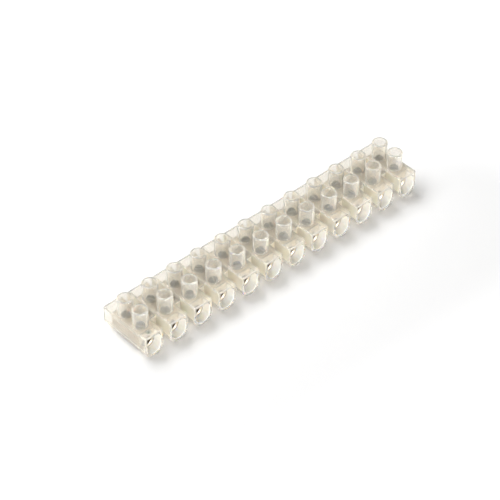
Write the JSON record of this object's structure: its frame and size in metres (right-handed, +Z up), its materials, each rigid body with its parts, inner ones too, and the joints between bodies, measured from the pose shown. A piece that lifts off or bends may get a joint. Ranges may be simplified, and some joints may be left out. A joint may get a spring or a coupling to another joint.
{
  "type": "screw terminal connector strip",
  "caption": "Translucent plastic wire connector strip: brass inserts in a row of joined U-section poles, slotted clamp screws in chimneys, fixing holes between poles.",
  "frame": {"origin": "middle of the strip's footprint, on the surface it stands on", "axes": "+X along the row of poles, +Y along the wires from the front mouths to the back ones, +Z up out of the chimneys"},
  "size_m": [0.1172, 0.0196, 0.0149],
  "materials": {
    "housing_plastic": "satin",
    "insert_brass": "satin",
    "screw_steel": "satin"
  },
  "bodies": {
    "strip": {"housing": "housing_plastic", "insert_01": "insert_brass", "insert_02": "insert_brass", "insert_03": "insert_brass", "insert_04": "insert_brass", "insert_05": "insert_brass", "insert_06": "insert_brass", "insert_07": "insert_brass", "insert_08": "insert_brass", "insert_09": "insert_brass", "insert_10": "insert_brass", "insert_11": "insert_brass", "insert_12": "insert_brass"},
    "screw_front_01": {"screw_front_01": "screw_steel"},
    "screw_front_02": {"screw_front_02": "screw_steel"},
    "screw_front_03": {"screw_front_03": "screw_steel"},
    "screw_front_04": {"screw_front_04": "screw_steel"},
    "screw_front_05": {"screw_front_05": "screw_steel"},
    "screw_front_06": {"screw_front_06": "screw_steel"},
    "screw_front_07": {"screw_front_07": "screw_steel"},
    "screw_front_08": {"screw_front_08": "screw_steel"},
    "screw_front_09": {"screw_front_09": "screw_steel"},
    "screw_front_10": {"screw_front_10": "screw_steel"},
    "screw_front_11": {"screw_front_11": "screw_steel"},
    "screw_front_12": {"screw_front_12": "screw_steel"},
    "screw_back_01": {"screw_back_01": "screw_steel"},
    "screw_back_02": {"screw_back_02": "screw_steel"},
    "screw_back_03": {"screw_back_03": "screw_steel"},
    "screw_back_04": {"screw_back_04": "screw_steel"},
    "screw_back_05": {"screw_back_05": "screw_steel"},
    "screw_back_06": {"screw_back_06": "screw_steel"},
    "screw_back_07": {"screw_back_07": "screw_steel"},
    "screw_back_08": {"screw_back_08": "screw_steel"},
    "screw_back_09": {"screw_back_09": "screw_steel"},
    "screw_back_10": {"screw_back_10": "screw_steel"},
    "screw_back_11": {"screw_back_11": "screw_steel"},
    "screw_back_12": {"screw_back_12": "screw_steel"}
  },
  "joints": [
    {"name": "clamp_front_01", "type": "slide", "parent": "strip", "child": "screw_front_01", "axis": [0, 0, 1], "range_m": [-0.00294, 0.00056]},
    {"name": "clamp_front_02", "type": "slide", "parent": "strip", "child": "screw_front_02", "axis": [0, 0, 1], "range_m": [-0.00308, 0.00042]},
    {"name": "clamp_front_03", "type": "slide", "parent": "strip", "child": "screw_front_03", "axis": [0, 0, 1], "range_m": [-0.00321, 0.00029]},
    {"name": "clamp_front_04", "type": "slide", "parent": "strip", "child": "screw_front_04", "axis": [0, 0, 1], "range_m": [-0.00284, 0.00066]},
    {"name": "clamp_front_05", "type": "slide", "parent": "strip", "child": "screw_front_05", "axis": [0, 0, 1], "range_m": [-0.00298, 0.00052]},
    {"name": "clamp_front_06", "type": "slide", "parent": "strip", "child": "screw_front_06", "axis": [0, 0, 1], "range_m": [-0.00311, 0.00039]},
    {"name": "clamp_front_07", "type": "slide", "parent": "strip", "child": "screw_front_07", "axis": [0, 0, 1], "range_m": [-0.00325, 0.00025]},
    {"name": "clamp_front_08", "type": "slide", "parent": "strip", "child": "screw_front_08", "axis": [0, 0, 1], "range_m": [-0.00288, 0.00062]},
    {"name": "clamp_front_09", "type": "slide", "parent": "strip", "child": "screw_front_09", "axis": [0, 0, 1], "range_m": [-0.00302, 0.00048]},
    {"name": "clamp_front_10", "type": "slide", "parent": "strip", "child": "screw_front_10", "axis": [0, 0, 1], "range_m": [-0.00315, 0.00035]},
    {"name": "clamp_front_11", "type": "slide", "parent": "strip", "child": "screw_front_11", "axis": [0, 0, 1], "range_m": [-0.00279, 0.00071]},
    {"name": "clamp_front_12", "type": "slide", "parent": "strip", "child": "screw_front_12", "axis": [0, 0, 1], "range_m": [-0.00292, 0.00058]},
    {"name": "clamp_back_01", "type": "slide", "parent": "strip", "child": "screw_back_01", "axis": [0, 0, 1], "range_m": [-0.00248, 0.00102]},
    {"name": "clamp_back_02", "type": "slide", "parent": "strip", "child": "screw_back_02", "axis": [0, 0, 1], "range_m": [-0.00261, 0.00089]},
    {"name": "clamp_back_03", "type": "slide", "parent": "strip", "child": "screw_back_03", "axis": [0, 0, 1], "range_m": [-0.00275, 0.00075]},
    {"name": "clamp_back_04", "type": "slide", "parent": "strip", "child": "screw_back_04", "axis": [0, 0, 1], "range_m": [-0.00288, 0.00062]},
    {"name": "clamp_back_05", "type": "slide", "parent": "strip", "child": "screw_back_05", "axis": [0, 0, 1], "range_m": [-0.00252, 0.00098]},
    {"name": "clamp_back_06", "type": "slide", "parent": "strip", "child": "screw_back_06", "axis": [0, 0, 1], "range_m": [-0.00265, 0.00085]},
    {"name": "clamp_back_07", "type": "slide", "parent": "strip", "child": "screw_back_07", "axis": [0, 0, 1], "range_m": [-0.00279, 0.00071]},
    {"name": "clamp_back_08", "type": "slide", "parent": "strip", "child": "screw_back_08", "axis": [0, 0, 1], "range_m": [-0.00292, 0.00058]},
    {"name": "clamp_back_09", "type": "slide", "parent": "strip", "child": "screw_back_09", "axis": [0, 0, 1], "range_m": [-0.00256, 0.00094]},
    {"name": "clamp_back_10", "type": "slide", "parent": "strip", "child": "screw_back_10", "axis": [0, 0, 1], "range_m": [-0.00269, 0.00081]},
    {"name": "clamp_back_11", "type": "slide", "parent": "strip", "child": "screw_back_11", "axis": [0, 0, 1], "range_m": [-0.00282, 0.00068]},
    {"name": "clamp_back_12", "type": "slide", "parent": "strip", "child": "screw_back_12", "axis": [0, 0, 1], "range_m": [-0.00246, 0.00104]}
  ]
}
